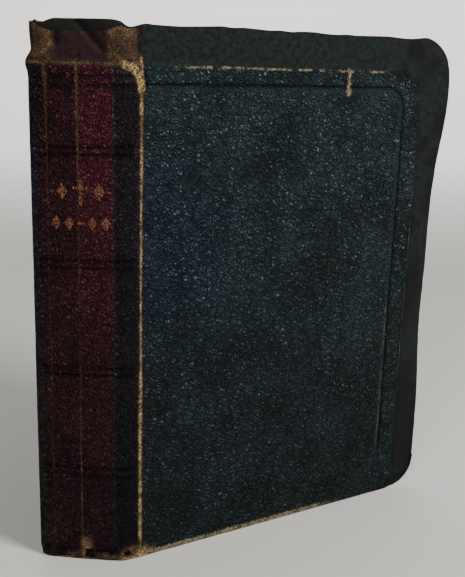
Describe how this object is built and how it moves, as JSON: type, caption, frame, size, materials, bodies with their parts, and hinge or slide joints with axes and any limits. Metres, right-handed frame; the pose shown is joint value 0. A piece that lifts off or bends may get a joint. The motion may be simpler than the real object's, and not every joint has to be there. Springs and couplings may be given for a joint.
{
  "type": "leather-bound bible",
  "caption": "Limp leather-bound Bible with overhanging cover edges, a creased flexible spine and sewn pages, standing on its tail with the front cover ajar.",
  "frame": {"origin": "on the table plane, on the flat leather flap folded under the spine's tail, 6 mm inside the spine's outer face and midway between the two joints", "axes": "+Z is the book's height from tail to head, +X runs from the spine to the fore-edge, and -Y is the front cover's outward side when it is closed"},
  "size_m": [0.1387, 0.1492, 0.1965],
  "materials": {
    "cover_leather": "pebbled grain, very dark blue-green black, semi-gloss on the grain tops, worn tan along the folds",
    "spine_leather": "pebbled grain, dark maroon, blind-tooled rules and a gilt ornament, cracked and worn at the creases",
    "lining_leather": "thin smooth lining leather, dark green-black, matt",
    "card": "dense grey-brown millboard",
    "endpaper": "aged cream paper",
    "pages": "thin leaves with worn gilt edges",
    "cloth": "open-weave crash cloth and linen tape",
    "silk": "faded red and cream silk endband"
  },
  "bodies": {
    "front_block": {"gathering_1": "pages", "gathering_2": "pages", "gathering_3": "pages", "gathering_4": "pages", "head_lining_front": "lining_leather", "headband_front": "silk", "mull_front": "cloth", "spine_leather_front": "spine_leather", "spine_lining_front": "card", "tailband_front": "silk", "tape_front_1": "cloth", "tape_front_2": "cloth", "tape_front_3": "cloth", "tape_front_4": "cloth"},
    "middle_block": {"gathering_5": "pages", "gathering_6": "pages", "head_lining_middle": "lining_leather", "headband_middle": "silk", "mull_middle": "cloth", "spine_leather_middle": "spine_leather", "spine_lining_middle": "card", "tailband_middle": "silk", "tape_middle_1": "cloth", "tape_middle_2": "cloth", "tape_middle_3": "cloth", "tape_middle_4": "cloth"},
    "rear_block": {"gathering_7": "pages", "headband_rear": "silk", "mull_rear": "cloth", "spine_leather_rear": "spine_leather", "tailband_rear": "silk"},
    "front_cover": {"front_board": "card", "front_cover_leather": "cover_leather", "front_head_lining": "lining_leather", "front_pastedown": "endpaper"},
    "back_cover": {"back_board": "card", "back_cover_leather": "cover_leather", "back_head_lining": "lining_leather", "back_pastedown": "endpaper"},
    "front_flap": {"front_flap_leather": "cover_leather", "front_flap_lining": "lining_leather"},
    "back_flap": {"back_flap_leather": "cover_leather", "back_flap_lining": "lining_leather"},
    "front_flyleaf": {"front_flyleaf": "endpaper"},
    "back_flyleaf": {"back_flyleaf": "endpaper"}
  },
  "joints": [
    {"name": "centre_crease", "type": "hinge", "parent": "front_block", "child": "middle_block", "pos_m": [-0.006, 0.002, 0.1], "axis": [0, 0, -1], "range_deg": [-100, 0]},
    {"name": "rear_crease", "type": "hinge", "parent": "middle_block", "child": "rear_block", "pos_m": [-0.006, 0.0115, 0.1], "axis": [0, 0, -1], "range_deg": [-80, 0]},
    {"name": "front_cover_hinge", "type": "hinge", "parent": "front_block", "child": "front_cover", "pos_m": [-0.003, -0.019, 0.1], "axis": [0, 0, -1], "range_deg": [-55, 125]},
    {"name": "back_cover_hinge", "type": "hinge", "parent": "rear_block", "child": "back_cover", "pos_m": [-0.003, 0.019, 0.1], "axis": [0, 0, 1], "range_deg": [0, 180]},
    {"name": "front_flap_crease", "type": "hinge", "parent": "front_cover", "child": "front_flap", "pos_m": [0.06964, -0.1189, 0.1], "axis": [0, 0, 1], "range_deg": [0, 90]},
    {"name": "back_flap_crease", "type": "hinge", "parent": "back_cover", "child": "back_flap", "pos_m": [0.1205, 0.0168, 0.1], "axis": [0, 0, -1], "range_deg": [0, 90]},
    {"name": "front_flyleaf_turn", "type": "hinge", "parent": "front_block", "child": "front_flyleaf", "pos_m": [-0.0015, -0.0146, 0.1], "axis": [0, 0, -1], "range_deg": [-27.5, 62.5]},
    {"name": "back_flyleaf_turn", "type": "hinge", "parent": "rear_block", "child": "back_flyleaf", "pos_m": [-0.0015, 0.0146, 0.1], "axis": [0, 0, 1], "range_deg": [0, 90]}
  ],
  "couplings": [
    {"joint": "front_flyleaf_turn", "follows": "front_cover_hinge", "ratio": 0.5},
    {"joint": "back_flyleaf_turn", "follows": "back_cover_hinge", "ratio": 0.5}
  ]
}
